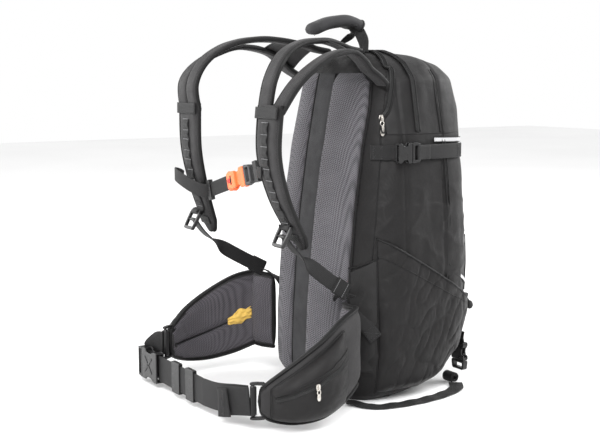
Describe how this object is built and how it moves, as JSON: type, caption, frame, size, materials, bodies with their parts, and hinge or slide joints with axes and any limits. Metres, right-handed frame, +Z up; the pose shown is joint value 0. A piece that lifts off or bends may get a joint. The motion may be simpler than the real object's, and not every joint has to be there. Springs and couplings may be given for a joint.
{
  "type": "backpack",
  "caption": "Small touring backpack with a mesh-padded back, split shoulder straps, chest strap, hip belt with pockets, clamshell top and a carrying handle.",
  "frame": {"origin": "on the floor plane, under the middle of the pack's base", "axes": "+X towards the wearer's left, -Y towards the wearer, +Z up"},
  "size_m": [0.393, 0.4071, 0.5275],
  "materials": {
    "pack_fabric": "matt woven, slightly sheeny",
    "strap_fabric": "matt woven",
    "spacer_mesh": "open mesh",
    "back_panel": "smooth, fine weave",
    "frame_plastic": "translucent sheet",
    "stay_aluminium": "satin",
    "lining": "thin woven",
    "webbing": "ribbed webbing",
    "black_plastic": "satin moulded",
    "grey_plastic": "satin moulded",
    "orange_plastic": "satin moulded",
    "reflective_tape": "reflective",
    "zip_metal": "satin"
  },
  "bodies": {
    "pack": {"main_shell": "pack_fabric", "back_board": "back_panel", "frame_sheet": "frame_plastic", "frame_stays": "stay_aluminium", "back_pad_left": "spacer_mesh", "back_pad_right": "spacer_mesh", "yoke_panel": "strap_fabric", "compartment_divider": "lining", "laptop_sleeve": "lining", "side_pocket_left": "pack_fabric", "side_pocket_right": "pack_fabric", "hip_fin_left": "pack_fabric", "hip_fin_right": "pack_fabric", "belt_base_left": "strap_fabric", "belt_base_right": "strap_fabric", "side_webbing_left": "webbing", "side_webbing_right": "webbing", "side_socket_left": "black_plastic", "side_socket_right": "black_plastic", "reflective_trim": "reflective_tape", "bottom_strap": "webbing", "bottom_socket": "black_plastic"},
    "main_lid": {"main_lid": "pack_fabric"},
    "front_lid": {"front_lid": "pack_fabric"},
    "main_slider_left": {"main_slider_left": "zip_metal"},
    "main_slider_right": {"main_slider_right": "zip_metal"},
    "front_slider": {"front_slider": "zip_metal"},
    "raincover_slider": {"raincover_slider": "zip_metal"},
    "haul_handle": {"haul_webbing": "webbing", "haul_grip": "strap_fabric"},
    "side_plug_left": {"side_plug_left": "black_plastic"},
    "side_plug_right": {"side_plug_right": "black_plastic"},
    "bottom_plug": {"bottom_plug": "black_plastic"},
    "belt_wing_left": {"belt_wing_left": "strap_fabric", "belt_pocket_left": "pack_fabric", "ladder_lock_left": "black_plastic"},
    "belt_wing_right": {"belt_wing_right": "strap_fabric", "belt_pocket_right": "pack_fabric", "ladder_lock_right": "black_plastic"},
    "belt_slider_left": {"belt_slider_left": "zip_metal"},
    "belt_slider_right": {"belt_slider_right": "zip_metal"},
    "belt_strap_left": {"belt_webbing_left": "webbing"},
    "belt_strap_right": {"belt_webbing_right": "webbing", "hip_plug": "black_plastic"},
    "belt_keepers": {"belt_keepers": "black_plastic"},
    "hip_socket": {"hip_socket": "black_plastic"},
    "hip_prong_upper": {"hip_prong_upper": "black_plastic"},
    "hip_prong_lower": {"hip_prong_lower": "black_plastic"},
    "strap_left": {"strap_left": "strap_fabric", "strap_webbing_left": "webbing"},
    "strap_right": {"strap_right": "strap_fabric", "strap_webbing_right": "webbing"},
    "strap_buckle_left": {"strap_buckle_left": "black_plastic"},
    "strap_buckle_right": {"strap_buckle_right": "black_plastic"},
    "chest_slider_left": {"chest_slider_left": "black_plastic"},
    "chest_strap": {"chest_slider_right": "black_plastic", "chest_webbing": "webbing", "chest_plug": "grey_plastic"},
    "chest_socket": {"chest_socket": "orange_plastic"}
  },
  "joints": [
    {"name": "main_lid_open", "type": "hinge", "parent": "pack", "child": "main_lid", "pos_m": [0, 0.1555, 0.364], "axis": [-1, 0, 0], "range_deg": [0, 70]},
    {"name": "front_lid_open", "type": "hinge", "parent": "main_lid", "child": "front_lid", "pos_m": [0, 0.1555, 0.364], "axis": [-1, 0, 0], "range_deg": [0, 55]},
    {"name": "main_zip_left", "type": "slide", "parent": "pack", "child": "main_slider_left", "axis": [-0.1676, 0, 0.9859], "range_m": [0, 0.038]},
    {"name": "main_zip_right", "type": "slide", "parent": "pack", "child": "main_slider_right", "axis": [0.1676, 0, 0.9859], "range_m": [0, 0.038]},
    {"name": "front_zip", "type": "slide", "parent": "main_lid", "child": "front_slider", "axis": [0.1961, 0, 0.9806], "range_m": [0, 0.02]},
    {"name": "raincover_zip", "type": "slide", "parent": "pack", "child": "raincover_slider", "axis": [-0.8944, 0.4472, 0], "range_m": [0, 0.024]},
    {"name": "haul_lift", "type": "hinge", "parent": "pack", "child": "haul_handle", "pos_m": [0, 0.022, 0.481], "axis": [-1, 0, 0], "range_deg": [0, 30]},
    {"name": "side_buckle_left", "type": "slide", "parent": "pack", "child": "side_plug_left", "axis": [0, 1, 0], "range_m": [0, 0.012]},
    {"name": "side_buckle_right", "type": "slide", "parent": "pack", "child": "side_plug_right", "axis": [0, 1, 0], "range_m": [0, 0.012]},
    {"name": "bottom_buckle", "type": "slide", "parent": "pack", "child": "bottom_plug", "axis": [0, 0, -1], "range_m": [0, 0.008]},
    {"name": "wing_left_swing", "type": "hinge", "parent": "pack", "child": "belt_wing_left", "pos_m": [0.138, -0.06, 0.06], "axis": [0, 0, 1], "range_deg": [0, 30]},
    {"name": "wing_right_swing", "type": "hinge", "parent": "pack", "child": "belt_wing_right", "pos_m": [-0.138, -0.06, 0.06], "axis": [0, 0, -1], "range_deg": [0, 30]},
    {"name": "belt_zip_left", "type": "slide", "parent": "belt_wing_left", "child": "belt_slider_left", "axis": [0, 0.9439, 0.3304], "range_m": [0, 0.014]},
    {"name": "belt_zip_right", "type": "slide", "parent": "belt_wing_right", "child": "belt_slider_right", "axis": [0, 0.9439, 0.3304], "range_m": [0, 0.014]},
    {"name": "belt_strap_left_turn", "type": "hinge", "parent": "belt_wing_left", "child": "belt_strap_left", "pos_m": [0.13, -0.212, 0.038], "axis": [0, 0, 1], "range_deg": [-30, 0]},
    {"name": "belt_strap_right_turn", "type": "hinge", "parent": "belt_wing_right", "child": "belt_strap_right", "pos_m": [-0.13, -0.212, 0.06], "axis": [0, 0, -1], "range_deg": [-30, 0]},
    {"name": "keepers_slide", "type": "slide", "parent": "belt_strap_left", "child": "belt_keepers", "axis": [1, 0, 0], "range_m": [-0.006, 0.012]},
    {"name": "hip_socket_slide", "type": "slide", "parent": "belt_strap_left", "child": "hip_socket", "axis": [1, 0, 0], "range_m": [0, 0.03]},
    {"name": "hip_prong_upper_bend", "type": "hinge", "parent": "belt_strap_right", "child": "hip_prong_upper", "pos_m": [-0.157, -0.231, 0.0455], "axis": [0, 1, 0], "range_deg": [0, 5], "stiffness_Nm_per_rad": 0.6},
    {"name": "hip_prong_lower_bend", "type": "hinge", "parent": "belt_strap_right", "child": "hip_prong_lower", "pos_m": [-0.157, -0.231, 0.0125], "axis": [0, -1, 0], "range_deg": [0, 5], "stiffness_Nm_per_rad": 0.6},
    {"name": "strap_left_swing", "type": "hinge", "parent": "pack", "child": "strap_left", "pos_m": [0.104, -0.035, 0.456], "axis": [-0.038, 0.0856, 0.9956], "range_deg": [0, 30]},
    {"name": "strap_right_swing", "type": "hinge", "parent": "pack", "child": "strap_right", "pos_m": [-0.104, -0.035, 0.456], "axis": [-0.038, -0.0856, -0.9956], "range_deg": [0, 30]},
    {"name": "strap_buckle_left_tilt", "type": "hinge", "parent": "strap_left", "child": "strap_buckle_left", "pos_m": [0.109, -0.15, 0.25], "axis": [-1, 0, 0], "range_deg": [0, 25]},
    {"name": "strap_buckle_right_tilt", "type": "hinge", "parent": "strap_right", "child": "strap_buckle_right", "pos_m": [-0.109, -0.17, 0.25], "axis": [-1, 0, 0], "range_deg": [0, 25]},
    {"name": "chest_slider_left_slide", "type": "slide", "parent": "strap_left", "child": "chest_slider_left", "axis": [-0.073, -0.2379, 0.9685], "range_m": [-0.012, 0.012]},
    {"name": "chest_strap_slide", "type": "slide", "parent": "strap_right", "child": "chest_strap", "axis": [0.072, -0.271, 0.9599], "range_m": [-0.012, 0.012]},
    {"name": "chest_socket_pull", "type": "slide", "parent": "chest_strap", "child": "chest_socket", "axis": [-0.9589, -0.065, -0.2763], "range_m": [0, 0.02]}
  ],
  "couplings": [
    {"joint": "belt_strap_left_turn", "follows": "wing_left_swing", "ratio": -1},
    {"joint": "belt_strap_right_turn", "follows": "wing_right_swing", "ratio": -1},
    {"joint": "hip_prong_lower_bend", "follows": "hip_prong_upper_bend", "ratio": 1}
  ]
}
